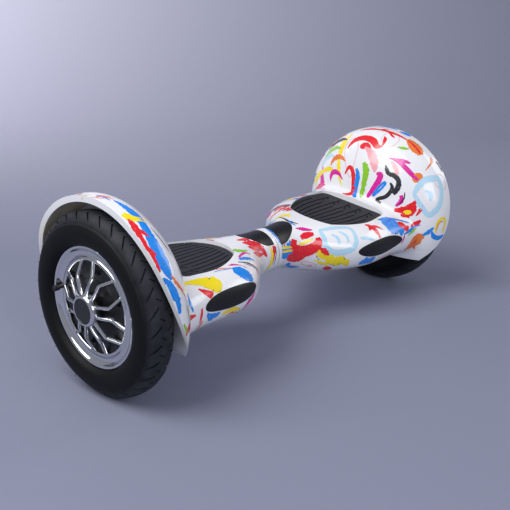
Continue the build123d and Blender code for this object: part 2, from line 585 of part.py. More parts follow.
def wheel_cover():
    """Chrome cover: stepped ring, hub cup and twelve kinked spokes in six pairs."""
    wx = WHEEL_X
    ring = turned([
        (wx + 15.2, RIM_R), (wx + 17, RIM_R - 1), (wx + 16.4, RIM_R - 5), (wx + 13.4, 75), (wx + 12.4, 71),
        (wx + 13.6, 67), (wx + 14.2, 63.5), (wx + 12.4, 62), (wx + 11.2, 64), (wx + 11.2, RIM_R - 6.2),
        (wx + 15.2, RIM_R - 3.2),
    ])
    tip = wx + HUB_TIP
    hub = turned([
        (tip - 4, 0.0), (tip - 4, BADGE_R + 0.2), (tip - 0.8, BADGE_R + 0.2), (tip - 0.8, BADGE_R + 1.2),
        (tip - 1.4, HUB_R), (tip - 8, HUB_R + 1.5), (tip - 11, HUB_R), (tip - 11, BADGE_R), (tip - 7, BADGE_R),
        (tip - 7, 0.0),
    ])
    band = turned([
        (tip - 5, HUB_R - 1), (tip - 10, 46), (wx + 13.8, 64.5), (wx + 11.6, 64.5), (tip - 14, 45),
        (tip - 10, HUB_R - 1),
    ])
    spokes = None
    for centre in polar(PETALS, PETAL_START):
        for s in (1, -1):
            path = [(HUB_R - 2, 11), (46.0, 20), (65.0, 10.5)]
            points = [(r * cos(radians(centre + s * a)), r * sin(radians(centre + s * a))) for r, a in path]
            bar = trace(Polyline(*points), SPOKE_W)
            spokes = bar if spokes is None else spokes + bar
    prism = Pos(wx, 0, AXLE_Z) * extrude(Plane.YZ * spokes, 60)
    cover = ring + hub + (band & prism)
    cover -= round_axle(cyl_x(2.8, wx, wx + 30, z=AXLE_Z + VALVE_R), VALVE_ANGLE - 90)
    badge = cyl_x(BADGE_R, tip - 4, tip - 1.2)
    return {"wheel_cover": cover, "hub_badge": fillet(badge.edges().sort_by(Axis.X)[-1], 0.8)}


def valve():
    """Tyre valve: brass stem through the cover's ring, and its black cap."""
    wx, z = WHEEL_X, AXLE_Z + VALVE_R
    stem = cyl_x(2.6, wx + 11.3, wx + 17, z=z)
    cap = cyl_x(4.0, wx + 17, wx + 25, z=z)
    cap = fillet(cap.edges().sort_by(Axis.X)[-1], 1.2)
    return group([round_axle(s, VALVE_ANGLE - 90) for s in (stem, cap)])


# ---------------------------------------------------------------- rear fittings
def power_button():
    """Push button in its bush, closed at the back by the switch."""
    y1 = REAR_Y + 2.6
    bush = cyl_y(BUTTON_FLANGE_R, REAR_Y, y1, BUTTON_X, BUTTON_Z)
    bush += cyl_y(BUTTON_R + 2.0, REAR_Y - 15, REAR_Y, BUTTON_X, BUTTON_Z)
    bush -= cyl_y(BUTTON_R + 0.2, REAR_Y - 11, y1 + 1, BUTTON_X, BUTTON_Z)
    seat = REAR_Y - 11 + BUTTON_TRAVEL + 0.4
    button = cyl_y(BUTTON_R, seat, y1 + 0.8, BUTTON_X, BUTTON_Z)
    button = fillet(button.edges().sort_by(Axis.Y)[-1], 0.7)
    return {"button_bush": bush, "power_button": button}


def charge_port():
    """Charging socket with a stepped throat and three contacts, and its hinged rubber cap."""
    y1 = REAR_Y + 2.4
    hinge_z, hinge_y = PORT_Z + PORT_FLANGE_R + 2.5, y1 + 1.9
    body = cyl_y(PORT_FLANGE_R, REAR_Y, y1, PORT_X, PORT_Z)
    body += cyl_y(PORT_FLANGE_R - 2.5, REAR_Y - 14, REAR_Y, PORT_X, PORT_Z)
    body += block(PORT_X - 8, PORT_X + 8, REAR_Y, y1, PORT_Z, hinge_z + 2)
    body -= cyl_y(PORT_R, y1 - PORT_DEPTH, y1 + 1, PORT_X, PORT_Z)
    body -= cyl_y(PORT_R - 1.5, REAR_Y - 12, y1, PORT_X, PORT_Z)
    for k in range(3):
        a = radians(90 + 120 * k)
        x, z = PORT_X + 3.6 * cos(a), PORT_Z + 3.6 * sin(a)
        body += cyl_y(0.9, REAR_Y - 13, y1 - PORT_DEPTH - 0.5, x, z)
    for x in (PORT_X - 8, PORT_X + 5.5):
        body += block(x, x + 2.5, REAR_Y, hinge_y + 1.5, hinge_z - 2, hinge_z + 2)
    body += cyl_x(0.8, PORT_X - 7, PORT_X + 7, y=hinge_y, z=hinge_z)
    disc = cyl_y(PORT_FLANGE_R - 1, y1 + 0.3, y1 + 2.6, PORT_X, PORT_Z)
    arm = block(PORT_X - 4, PORT_X + 4, y1 + 0.4, y1 + 2.6, PORT_Z, hinge_z)
    barrel = cyl_x(1.5, PORT_X - 5, PORT_X + 5, y=hinge_y, z=hinge_z)
    cap = disc + arm + barrel - cyl_x(0.85, PORT_X - 9, PORT_X + 9, y=hinge_y, z=hinge_z)
    return {"charge_port": body, "charge_cap": cap}


# ---------------------------------------------------------------- assembly
def place(pieces, prefix, left, twist=True):
    """Puts the pieces of a half on its side of the board and names them."""
    for name, shape in pieces.items():
        if left:
            shape = mirror(shape, about=Plane.YZ)
        elif twist:
            shape = shape.rotate(Axis((0, 0, AXLE_Z), (1, 0, 0)), REST_TWIST)
        PARTS[prefix + name] = shape


def build():
    """Builds both halves and the pieces that they share."""
    fixed, rolling = {}, {}
    fixed["foot_pad"] = foot_pad()
    fixed.update(axle_clamp())
    fixed["shell_screws"] = shell_screws()
    fixed["sensor_board"] = sensor_board()
    fixed["lamp_boards"] = lamp_boards()
    motor = hub_motor()
    for name in ("axle", "stator_core", "stator_coils"):
        fixed[name] = motor.pop(name)
    rolling.update(motor)
    rolling["tyre"] = tyre()
    rolling.update(wheel_cover())
    rolling["tyre_valve"] = valve()
    for prefix, left in (("left_", True), ("right_", False)):
        place(fixed, prefix, left)
        place(rolling, prefix, left, twist=False)
        place(shells(left), prefix, left)
        place({"frame": half_frame(left)}, prefix, left)
    place({"mainboard": mainboard()}, "", True)
    place(power_button(), "", True)
    place(charge_port(), "", True)
    place(battery_pack(), "", False)
    shared = pivot()
    place({"pivot_bushes": shared.pop("pivot_bushes")}, "", False)
    PARTS.update(shared)


build()
os.makedirs("parts", exist_ok=True)
for node, shape in PARTS.items():
    export_step(shape, f"parts/{node}.step")
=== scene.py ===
import math

import bpy
from mathutils import Matrix, Vector, noise


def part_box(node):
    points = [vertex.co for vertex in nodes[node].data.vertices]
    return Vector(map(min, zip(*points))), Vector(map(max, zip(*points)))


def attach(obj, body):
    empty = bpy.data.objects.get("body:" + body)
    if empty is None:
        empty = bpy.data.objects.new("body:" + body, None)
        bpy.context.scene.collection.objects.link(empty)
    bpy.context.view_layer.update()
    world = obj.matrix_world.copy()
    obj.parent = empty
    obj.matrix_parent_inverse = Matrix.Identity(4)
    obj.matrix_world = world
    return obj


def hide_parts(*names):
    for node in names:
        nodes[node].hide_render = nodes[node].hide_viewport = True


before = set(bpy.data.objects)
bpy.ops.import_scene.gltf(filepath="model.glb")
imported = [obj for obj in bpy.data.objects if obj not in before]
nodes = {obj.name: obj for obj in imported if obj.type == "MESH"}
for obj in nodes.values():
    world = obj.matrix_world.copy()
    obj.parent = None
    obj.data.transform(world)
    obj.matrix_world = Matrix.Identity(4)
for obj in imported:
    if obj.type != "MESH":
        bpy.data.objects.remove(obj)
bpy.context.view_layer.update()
bpy.ops.object.select_all(action="DESELECT")


# Inside of the board: cast aluminium half frames, clamps, screws, boards, battery and pivot.
# They're hidden by the shells and show only through the axle holes and the gap at the neck.
def linear(code):
    """A colour such as "#F4F4F6" as the linear numbers that a shader takes."""
    parts = [int(code[i : i + 2], 16) / 255 for i in (1, 3, 5)]
    return [c / 12.92 if c <= 0.04045 else ((c + 0.055) / 1.055) ** 2.4 for c in parts] + [1.0]


def add(mat, kind, settings=None, values=None, links=None):
    """Adds one shader node, sets it up and wires other nodes' outputs into it."""
    made = mat.node_tree.nodes.new("ShaderNode" + kind)
    for name, value in (settings or {}).items():
        setattr(made, name, value)
    for socket, value in (values or {}).items():
        made.inputs[socket].default_value = value
    for socket, source in (links or {}).items():
        mat.node_tree.links.new(source, made.inputs[socket])
    return made


def finish(name, colour, roughness, metallic=0.0, coat=0.0):
    """A new material and its surface shader."""
    mat = bpy.data.materials.new(name)
    mat.use_nodes = True
    skin = mat.node_tree.nodes["Principled BSDF"]
    skin.inputs["Base Color"].default_value = linear(colour)
    skin.inputs["Roughness"].default_value = roughness
    skin.inputs["Metallic"].default_value = metallic
    skin.inputs["Coat Weight"].default_value = coat
    return mat, skin


def grain(mat, skin, per_mm, depth, rough_low, rough_high):
    """Fine surface grain: a bump of so many bumps a millimetre, and uneven gloss."""
    place = add(mat, "TexCoord")
    pattern = add(
        mat,
        "TexNoise",
        values={"Scale": per_mm * 1000, "Detail": 3.0},
        links={"Vector": place.outputs["Object"]},
    )
    spread = add(
        mat,
        "MapRange",
        values={"From Min": 0.3, "From Max": 0.7, "To Min": rough_low, "To Max": rough_high},
        links={"Value": pattern.outputs["Fac"]},
    )
    bump = add(
        mat,
        "Bump",
        values={"Distance": depth, "Strength": 1.0},
        links={"Height": pattern.outputs["Fac"]},
    )
    mat.node_tree.links.new(spread.outputs["Result"], skin.inputs["Roughness"])
    mat.node_tree.links.new(bump.outputs["Normal"], skin.inputs["Normal"])


def dress(mat, *names):
    """Gives CAD nodes a material."""
    for name in names:
        nodes[name].data.materials.clear()
        nodes[name].data.materials.append(mat)


def each_side(*names):
    """The same piece's node on both halves."""
    return [side + name for side in ("left_", "right_") for name in names]


# Sand-cast aluminium, as poured
cast, skin = finish("cast_aluminium", "#B4B6B8", 0.5, metallic=1.0)
grain(cast, skin, 0.8, 0.0002, 0.4, 0.6)
dress(cast, *each_side("frame", "axle_clamp", "hub_rim"))
# Ground and zinc-plated steel
steel, skin = finish("ground_steel", "#BDBDC0", 0.3, metallic=1.0)
grain(steel, skin, 2.0, 0.00002, 0.22, 0.4)
dress(steel, *each_side("axle", "clamp_screws", "shell_screws"))
dress(steel, *each_side("wheel_bearings", "motor_magnets", "stator_core"))
dress(steel, "pivot_tube", "pivot_clip", "battery_straps")
# Enamelled copper wire
copper, skin = finish("copper_wire", "#B5653A", 0.35, metallic=1.0)
grain(copper, skin, 3.0, 0.00005, 0.3, 0.45)
dress(copper, *each_side("stator_coils"))
# Green circuit board lacquer
board, skin = finish("circuit_board", "#11502C", 0.4)
grain(board, skin, 1.0, 0.00003, 0.35, 0.5)
dress(board, *each_side("sensor_board", "lamp_boards"))
dress(board, "mainboard")
# Blue shrink wrap around the cells
wrap, skin = finish("shrink_wrap", "#2450A0", 0.35)
grain(wrap, skin, 0.3, 0.0002, 0.25, 0.45)
dress(wrap, "battery_pack")
# White nylon of the pivot's bushes
nylon, skin = finish("nylon", "#DAD8CC", 0.5)
grain(nylon, skin, 1.0, 0.00002, 0.45, 0.6)
dress(nylon, "pivot_bushes")

# Hub motors: cast covers painted black, with black cap-head bolts.
# The outer cover is the dark disc that shows behind the spokes.
paint, skin = finish("black_motor_paint", "#131315", 0.35)
grain(paint, skin, 1.2, 0.00006, 0.28, 0.48)
dress(paint, *each_side("inner_motor_cover", "outer_motor_cover", "cover_bolts"))


# Tyres: 10 x 2.125 inch road tyres in black rubber, moulded with slits across both shoulders,
# Y-shaped sipes along the middle and short vent hairs. Their beads sit on the rims' seats.
def deselect():
    """Leaves nothing selected before a new piece is made."""
    bpy.ops.object.select_all(action="DESELECT")


def settle(name, mat, angle=40):
    """Names the piece in hand, shades it smooth and gives it its material."""
    piece = bpy.context.object
    piece.name = name
    bpy.ops.object.transform_apply(location=True, rotation=True, scale=True)
    bpy.ops.object.shade_smooth_by_angle(angle=math.radians(angle))
    piece.data.materials.clear()
    piece.data.materials.append(mat)
    return piece


def turn_ring(profile, steps, middle):
    """A closed outline of (offset, radius) corners, spun about the axle."""
    x, z = middle
    deselect()
    bpy.ops.mesh.primitive_circle_add(vertices=len(profile), radius=0.01)
    piece = bpy.context.object
    piece.location = (0, 0, 0)
    for vertex, (offset, radius) in zip(piece.data.vertices, profile):
        vertex.co = (x + offset, 0, z + radius)
    bpy.ops.object.mode_set(mode="EDIT")
    bpy.ops.mesh.select_all(action="SELECT")
    bpy.ops.mesh.spin(steps=steps, angle=2 * math.pi, center=(x, 0, z), axis=(1, 0, 0))
    bpy.ops.mesh.select_all(action="SELECT")
    bpy.ops.mesh.remove_doubles(threshold=0.00001)
    bpy.ops.mesh.normals_make_consistent(inside=False)
    bpy.ops.object.mode_set(mode="OBJECT")
    return piece


def smooth_line(points, parts):
    """A Catmull-Rom line through points, with so many parts between each two."""

    def between(p, q, r, s, t):
        square = (2 * p - 5 * q + 4 * r - s) * t**2
        cube = (3 * q - p - 3 * r + s) * t**3
        return 0.5 * (2 * q + (r - p) * t + square + cube)

    line = []
    ends = [points[0]] + list(points) + [points[-1]]
    for corners in zip(ends, ends[1:], ends[2:], ends[3:]):
        for k in range(parts):
            line.append(tuple(between(*values, k / parts) for values in zip(*corners)))
    return line + [tuple(points[-1])]


def mirror_copy(piece, name):
    """The left half's copy of a right-hand piece, with its own mesh."""
    deselect()
    piece.select_set(True)
    bpy.context.view_layer.objects.active = piece
    bpy.ops.object.duplicate()
    twin = bpy.context.object
    twin.name = name
    twin.data.transform(Matrix.Scale(-1, 4, (1, 0, 0)))
    twin.data.flip_normals()
    return twin


low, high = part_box("right_tyre")
WHEEL_X = (low[0] + high[0]) / 2
AXLE_Z = (low[2] + high[2]) / 2
TYRE_R = (high[2] - low[2]) / 2
wheel_middle = (WHEEL_X, AXLE_Z)

tyre_mat, skin = finish("tyre_rubber", "#17181B", 0.6)
place = add(tyre_mat, "TexCoord")
apart = add(
    tyre_mat,
    "VectorMath",
    settings={"operation": "SUBTRACT"},
    links={0: place.outputs["Object"]},
    values={1: (0, 0, AXLE_Z)},
)
flat = add(
    tyre_mat,
    "VectorMath",
    settings={"operation": "MULTIPLY"},
    links={0: apart.outputs[0]},
    values={1: (0, 1, 1)},
)
out = add(tyre_mat, "VectorMath", settings={"operation": "LENGTH"}, links={0: flat.outputs[0]})
# Noise that breaks the tread's painted sheen into patches
sheen_patches = add(
    tyre_mat,
    "TexNoise",
    values={"Scale": 60.0, "Detail": 5.0},
    links={"Vector": place.outputs["Object"]},
)
# The tread is greyer than the sidewall: painted sheen of the overhead light, in noisy patches
tread_sheen = add(
    tyre_mat,
    "MapRange",
    values={"From Min": TYRE_R - 0.016, "From Max": TYRE_R - 0.006, "To Min": 0.0, "To Max": 1.0},
    links={"Value": out.outputs["Value"]},
)
tread_sheen = add(
    tyre_mat,
    "Math",
    settings={"operation": "MULTIPLY"},
    links={0: tread_sheen.outputs[0], 1: sheen_patches.outputs["Fac"]},
)
# Sidewall black to the tread's grey #3C3E46, which is painted sheen, not the rubber's colour
shade = add(
    tyre_mat,
    "Mix",
    settings={"data_type": "RGBA"},
    values={6: linear("#060608"), 7: linear("#3C3E46")},
    links={0: tread_sheen.outputs[0]},
)
tyre_mat.node_tree.links.new(shade.outputs[2], skin.inputs["Base Color"])
fine = add(
    tyre_mat,
    "TexNoise",
    values={"Scale": 1500.0, "Detail": 2.0},
    links={"Vector": place.outputs["Object"]},
)
bump = add(
    tyre_mat,
    "Bump",
    values={"Distance": 0.0001, "Strength": 0.6},
    links={"Height": fine.outputs["Fac"]},
)
tyre_mat.node_tree.links.new(bump.outputs["Normal"], skin.inputs["Normal"])
skin.inputs["Specular IOR Level"].default_value = 0.25

# Half of the section as (offset, radius): the crown, a step, the sidewall, then bead and inside
crown = [(0.0, 0.126), (0.008, 0.1252), (0.014, 0.1222), (0.0185, 0.1170), (0.0212, 0.1122)]
step = [(0.0216, 0.1118)]
sidewall = [(0.0232, 0.1112), (0.0242, 0.1085), (0.0256, 0.1030)]
sidewall += [(0.0258, 0.0960), (0.0235, 0.0885), (0.0180, 0.0838)]
bead = [(0.0150, 0.0832), (0.0112, 0.0830), (0.0112, 0.0793)]
inside = [(0.0060, 0.0793), (0.0030, 0.0860), (0.0, 0.0900)]
half = smooth_line(crown, 4) + step + smooth_line(sidewall, 4) + bead + inside
profile = half + [(-x, r) for x, r in reversed(half[1:-1])]
turn_ring(profile, 240, wheel_middle)
tyre_body = settle("tyre_blank", tyre_mat)

# One cutter block for each slit across a shoulder and each sipe beside the middle, in rings.
# Offset, radius, length, width, slant, tilt and place in the pitch; sizes are in metres.
SLITS = 32
BLOCK_DEEP = 0.007
SHOULDER_SLIT = (0.0145, 0.1225, 0.022, 0.0024, -48, 30, 0.0)
MIDDLE_SIPE = (0.0050, 0.1262, 0.009, 0.0014, 35, 0, 0.32)
deselect()
cutters = []
for k in range(SLITS):
    for side, turn in ((1, 0.0), (-1, 0.5)):
        for offset, radius, length, width, slant, tilt, lag in (SHOULDER_SLIT, MIDDLE_SIPE):
            bpy.ops.mesh.primitive_cube_add(size=1, location=(0, 0, 0))
            block = bpy.context.object
            block.data.transform(Matrix.Diagonal((length, width, BLOCK_DEEP, 1)))
            block.data.transform(Matrix.Rotation(math.radians(side * slant), 4, "Z"))
            block.data.transform(Matrix.Rotation(math.radians(side * tilt), 4, "Y"))
            block.data.transform(Matrix.Translation((side * offset, 0, radius)))
            angle = 2 * math.pi * (k + turn + lag) / SLITS
            block.data.transform(Matrix.Rotation(angle, 4, "X"))
            block.data.transform(Matrix.Translation((WHEEL_X, 0, AXLE_Z)))
            cutters.append(block)
for block in cutters:
    block.select_set(True)
bpy.ops.object.join()
cutter = bpy.context.object
deselect()
tyre_body.select_set(True)
bpy.context.view_layer.objects.active = tyre_body
cut = tyre_body.modifiers.new("slits", "BOOLEAN")
cut.operation = "DIFFERENCE"
cut.solver = "EXACT"
cut.object = cutter
bpy.ops.object.modifier_apply(modifier="slits")
bpy.data.objects.remove(cutter)

# Vent hairs, left by the mould along both shoulders, none quite straight or evenly set
HAIRS = 56
HAIR_R = 0.1142
hairs = []
for k in range(HAIRS):
    side = 1 if k % 2 else -1
    offset = side * (0.0205 + 0.0012 * math.sin(3.1 * k))
    lean = math.radians(side * (55 + 20 * math.sin(5 * k)))
    angle = 2 * math.pi * (k + 0.3 * math.sin(9 * k)) / HAIRS
    deselect()
    bpy.ops.mesh.primitive_cone_add(
        vertices=6, radius1=0.00035, radius2=0.0002, depth=0.0035, location=(0, 0, 0)
    )
    hair = bpy.context.object
    hair.data.transform(Matrix.Rotation(lean, 4, "Y"))
    hair.data.transform(Matrix.Translation((offset + side * 0.001, 0, HAIR_R)))
    hair.data.transform(Matrix.Rotation(angle, 4, "X"))
    hair.data.transform(Matrix.Translation((WHEEL_X, 0, AXLE_Z)))
    hairs.append(hair)
deselect()
for hair in hairs:
    hair.select_set(True)
tyre_body.select_set(True)
bpy.context.view_layer.objects.active = tyre_body
bpy.ops.object.join()
right_tyre = settle("right_road_tyre", tyre_mat)
left_tyre = mirror_copy(right_tyre, "left_road_tyre")
for piece, side in ((left_tyre, "left"), (right_tyre, "right")):
    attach(piece, side + "_wheel")
    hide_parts(side + "_tyre")

# Wheel covers: die-cast, polished and chromed, pressed over the rim. A stepped ring carries a hub
# cup on twelve kinked spokes, set in six pairs.
chrome, skin = finish("chrome", "#DCDDE0", 0.06, metallic=1.0)
place = add(chrome, "TexCoord")
cloud = add(
    chrome,
    "TexNoise",
    values={"Scale": 90.0, "Detail": 2.0},
    links={"Vector": place.outputs["Object"]},
)
haze = add(
    chrome,
    "MapRange",
    values={"From Min": 0.35, "From Max": 0.75, "To Min": 0.05, "To Max": 0.16},
    links={"Value": cloud.outputs["Fac"]},
)
bump = add(
    chrome,
    "Bump",
    values={"Distance": 0.0004, "Strength": 0.25},
    links={"Height": cloud.outputs["Fac"]},
)
chrome.node_tree.links.new(haze.outputs["Result"], skin.inputs["Roughness"])
chrome.node_tree.links.new(bump.outputs["Normal"], skin.inputs["Normal"])

rim_edge = [(0.0153, 0.0829), (0.0172, 0.0826), (0.0176, 0.0812), (0.0170, 0.0792), (0.0150, 0.0772)]
dish = [(0.0135, 0.0752), (0.0124, 0.0722), (0.0122, 0.0700), (0.0130, 0.0682)]
inner_bead = [(0.0142, 0.0668), (0.0148, 0.0650), (0.0144, 0.0634), (0.0130, 0.0624), (0.0118, 0.0626)]
back = [(0.0114, 0.0640), (0.0114, 0.0760), (0.0152, 0.0800)]
turn_ring(smooth_line(rim_edge + dish + inner_bead, 3) + back, 180, wheel_middle)
ring = settle("cover_ring", chrome)

# The hub's section is drawn from its face, which stands so far out from the tyre's middle
HUB_FACE = 0.0288
cup = [(0.0, 0.0), (0.0, 0.0168), (0.0034, 0.0172), (0.0038, 0.0180), (0.0036, 0.0192), (0.0026, 0.0206)]
skirt = [(0.0004, 0.0217), (-0.0030, 0.0224), (-0.0070, 0.0220), (-0.0070, 0.0165)]
floor_of_cup = [(-0.0030, 0.0160), (-0.0030, 0.0)]
section = [(HUB_FACE + x, max(r, 0.0001)) for x, r in cup + skirt + floor_of_cup]
turn_ring(section, 96, wheel_middle)
hub = settle("cover_hub", chrome)


def spoke(line, width, height):
    """A bar of trapezoid section through (offset, radius, angle) points, thicker at the back."""
    deselect()
    bpy.ops.mesh.primitive_cube_add(size=0.001)
    bar = bpy.context.object
    centres = [Vector((x, r * math.cos(a), r * math.sin(a))) for x, r, a in line]
    corners, faces = [], []
    for i, middle in enumerate(centres):
        ahead = centres[min(i + 1, len(centres) - 1)] - centres[max(i - 1, 0)]
        across = ahead.cross(Vector((1, 0, 0))).normalized()
        for side, drop, wide in ((-1, 0, 0.6), (1, 0, 0.6), (1, -1, 1.0), (-1, -1, 1.0)):
            corners.append(middle + across * side * wide * width / 2 + Vector((drop * height, 0, 0)))
    for i in range(len(centres) - 1):
        for k in range(4):
            a, b = 4 * i + k, 4 * i + (k + 1) % 4
            faces.append((a, b, b + 4, a + 4))
    faces += [(3, 2, 1, 0), tuple(4 * len(centres) - 4 + k for k in range(4))]
    bar.data.clear_geometry()
    bar.data.from_pydata([c + Vector((WHEEL_X, 0, AXLE_Z)) for c in corners], [], faces)
    bpy.ops.object.mode_set(mode="EDIT")
    bpy.ops.mesh.select_all(action="SELECT")
    bpy.ops.mesh.normals_make_consistent(inside=False)
    bpy.ops.object.mode_set(mode="OBJECT")
    soften = bar.modifiers.new("soften", "BEVEL")
    soften.width = 0.0007
    soften.segments = 3
    bpy.ops.object.modifier_apply(modifier="soften")
    return settle("cover_spoke", chrome, 60)


PAIRS = 6
FIRST_PAIR = 23  # degrees
spokes = []
for k in range(PAIRS):
    middle = math.radians(FIRST_PAIR + 360 / PAIRS * k)
    for s in (1, -1):
        line = [
            (0.0285, 0.0195, middle + s * math.radians(12)),
            (0.0270, 0.0300, middle + s * math.radians(16)),
            (0.0238, 0.0445, middle + s * math.radians(20)),
            (0.0222, 0.0475, middle + s * math.radians(18.5)),
            (0.0150, 0.0640, middle + s * math.radians(10.5)),
        ]
        spokes.append(spoke(line, width=0.0056, height=0.0048))
deselect()
for piece in spokes + [hub, ring]:
    piece.select_set(True)
bpy.context.view_layer.objects.active = ring
bpy.ops.object.join()
right_cover = settle("right_chrome_cover", chrome)
left_cover = mirror_copy(right_cover, "left_chrome_cover")
for piece, side in ((left_cover, "left"), (right_cover, "right")):
    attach(piece, side + "_wheel")
    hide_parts(side + "_wheel_cover")

# Badge discs: plain satin black plastic, snapped into the hub cups
badge, skin = finish("badge_plastic", "#1D1E22", 0.35)
grain(badge, skin, 1.5, 0.00003, 0.3, 0.45)
dress(badge, *each_side("hub_badge"))

# Valves: brass stems with a chromed nut and a knurled black plastic cap, through the ring. The whole valve
# gets the cap's black plastic.
valve_mat, skin = finish("valve_cap_plastic", "#0E0E10", 0.45)
grain(valve_mat, skin, 1.5, 0.00003, 0.4, 0.55)
dress(valve_mat, *each_side("tyre_valve"))

# Shells: white gloss ABS, the upper and lower halves of each side screwed together from below.
# A dipped print covers them. Inside the mudguards the plastic is bare and looks yellowish.
shell, skin = finish("printed_white_plastic", "#F3F3F6", 0.25, coat=0.6)
skin.inputs["Coat Roughness"].default_value = 0.08
place = add(shell, "TexCoord")
peel = add(
    shell,
    "TexNoise",
    values={"Scale": 250.0, "Detail": 1.0},
    links={"Vector": place.outputs["Object"]},
)
bump = add(
    shell,
    "Bump",
    values={"Distance": 0.0001, "Strength": 0.2},
    links={"Height": peel.outputs["Fac"]},
)
shell.node_tree.links.new(bump.outputs["Normal"], skin.inputs["Normal"])
# Bare inside of the mudguards: surfaces that face the axle, beyond the wheel well's inner wall
WELL_X = 0.277
arm = add(
    shell,
    "VectorMath",
    settings={"operation": "SUBTRACT"},
    links={0: place.outputs["Object"]},
    values={1: (0, 0, AXLE_Z)},
)
arm = add(
    shell,
    "VectorMath",
    settings={"operation": "MULTIPLY"},
    links={0: arm.outputs[0]},
    values={1: (0, 1, 1)},
)
arm = add(shell, "VectorMath", settings={"operation": "NORMALIZE"}, links={0: arm.outputs[0]})
facing = add(
    shell,
    "VectorMath",
    settings={"operation": "DOT_PRODUCT"},
    links={0: arm.outputs[0], 1: place.outputs["Normal"]},
)
inward = add(
    shell,
    "MapRange",
    values={"From Min": -0.05, "From Max": -0.2, "To Min": 0.0, "To Max": 1.0},
    links={"Value": facing.outputs["Value"]},
)
axes = add(shell, "SeparateXYZ", links={"Vector": place.outputs["Object"]})
along = add(shell, "Math", settings={"operation": "ABSOLUTE"}, links={0: axes.outputs["X"]})
beyond = add(
    shell,
    "Math",
    settings={"operation": "GREATER_THAN"},
    links={0: along.outputs[0]},
    values={1: WELL_X},
)
bare = add(
    shell,
    "Math",
    settings={"operation": "MULTIPLY"},
    links={0: inward.outputs["Result"], 1: beyond.outputs[0]},
)
spray = add(
    shell,
    "TexNoise",
    values={"Scale": 28.0, "Detail": 3.0},
    links={"Vector": place.outputs["Object"]},
)
spray = add(
    shell,
    "MapRange",
    values={"From Min": 0.45, "From Max": 0.62, "To Min": 0.0, "To Max": 0.55},
    links={"Value": spray.outputs["Fac"]},
)
stain = add(
    shell,
    "Mix",
    settings={"data_type": "RGBA"},
    values={6: linear("#E8D9B8"), 7: linear("#8FB5B0")},
    links={0: spray.outputs["Result"]},
)
skin_colour = add(
    shell,
    "Mix",
    settings={"data_type": "RGBA"},
    values={6: linear("#F3F3F6")},
    links={0: bare.outputs[0], 7: stain.outputs[2]},
)
shell.node_tree.links.new(skin_colour.outputs[2], skin.inputs["Base Color"])
dress(shell, *each_side("upper_shell", "lower_shell"))

# Print: a film of brush marks, dipped over each shell before it is lacquered. Each mark is a thin
# skin that lies on the plastic. A mark's points say how many millimetres along the board it is,
# how many degrees round the axle's line (0 behind, 90 on top, 180 in front), and how wide it is.
LINE_FROM = 0.3  # well outside the mudguards
LINE_REACH = 0.275  # stops short of the axle


def on_shell(along, around, half):
    """Where a line towards the axle's line meets a half's shells, unless something else is there."""
    inward = Vector((0, -math.cos(math.radians(around)), -math.sin(math.radians(around))))
    start = Vector((along / 1000, 0, AXLE_Z)) - inward * LINE_FROM
    best, reach = None, LINE_REACH
    for part in ("upper_shell", "lower_shell", "foot_pad", "front_lens", "top_window"):
        found, spot, facing, _ = nodes[half + "_" + part].ray_cast(start, inward)
        if found and (spot - start).length < reach:
            reach = (spot - start).length
            best = (spot, facing, nodes[half + "_" + part]) if part.endswith("shell") else None
    return best


marks = {}
film_count = 0
FILM, FILM_STEP, FILM_STEPS = 0.00016, 0.000005, 40  # each mark lies a little above the one before
SPREAD = 1.35  # the film spreads as it wraps, so a mark ends up this much wider than drawn
COLUMNS = (-1.0, -0.7, -0.35, 0.0, 0.35, 0.7, 1.0)


def lay_film(colour, half, stations, rough):
    """One strip of film over stations that all lie on the shells."""
    film = FILM + FILM_STEP * (film_count % FILM_STEPS)
    across_cells, along_cells = len(COLUMNS) - 1, len(stations) - 1
    deselect()
    bpy.ops.mesh.primitive_grid_add(x_subdivisions=across_cells, y_subdivisions=along_cells, size=0.01)
    mark = bpy.context.object
    for i, ((spot, facing, piece), width) in enumerate(stations):
        ahead = stations[min(i + 1, len(stations) - 1)][0][0] - stations[max(i - 1, 0)][0][0]
        across = ahead.cross(facing).normalized()
        for k, share in enumerate(COLUMNS):
            wobble = 1 + rough * noise.noise(Vector((0.9 * i, 7.0 * share, film_count))) * 2
            side = spot + across * share * wobble * SPREAD * max(width, 0.2) / 2000
            found, near, out, _ = piece.ray_cast(side + facing * 0.005, -facing, distance=0.009)
            if not found:
                near, out = spot, facing
            mark.data.vertices[len(COLUMNS) * i + k].co = near + out * film
    bpy.ops.object.mode_set(mode="EDIT")
    bpy.ops.mesh.select_all(action="SELECT")
    bpy.ops.mesh.normals_make_consistent(inside=False)
    bpy.ops.object.mode_set(mode="OBJECT")
    if mark.data.polygons[0].normal.dot(stations[0][0][1]) < 0:
        mark.data.flip_normals()
    marks.setdefault((colour, half), []).append(mark)


def brush(colour, *line, rough=0.14, parts=6):
    """One brush mark along a smooth line of (along, around, width) points."""
    global film_count
    film_count += 1
    half = "left" if line[0][0] < 0 else "right"
    run = []
    for x, a, w in smooth_line(line, parts) + [(0, 0, None)]:
        spot = on_shell(x, a, half) if w is not None else None
        if spot:
            run.append((spot, w))
            continue
        if len(run) > 2:
            lay_film(colour, half, run, rough)
        run = []


def blot(colour, along, around, radius, stretch=1.0):
    """A round or oval dab of paint."""
    half_shares = [(0.7, 1.4), (0.92, 0.8), (1.0, 0.1)]
    shares = [(-s, w) for s, w in reversed(half_shares)] + [(0.0, 2.0)] + half_shares
    brush(colour, *[(along + radius * stretch * s, around, radius * w) for s, w in shares], rough=0.1)


def loop(colour, along, around, radius, width, squash=1.0):
    """A ring drawn with the brush, radius in millimetres."""
    line = []
    for k in range(13):
        a = math.radians(30 * k)
        line.append((along + radius * math.cos(a), around + radius * squash * math.sin(a) / 2.2, width))
    brush(colour, *line, rough=0.1, parts=3)


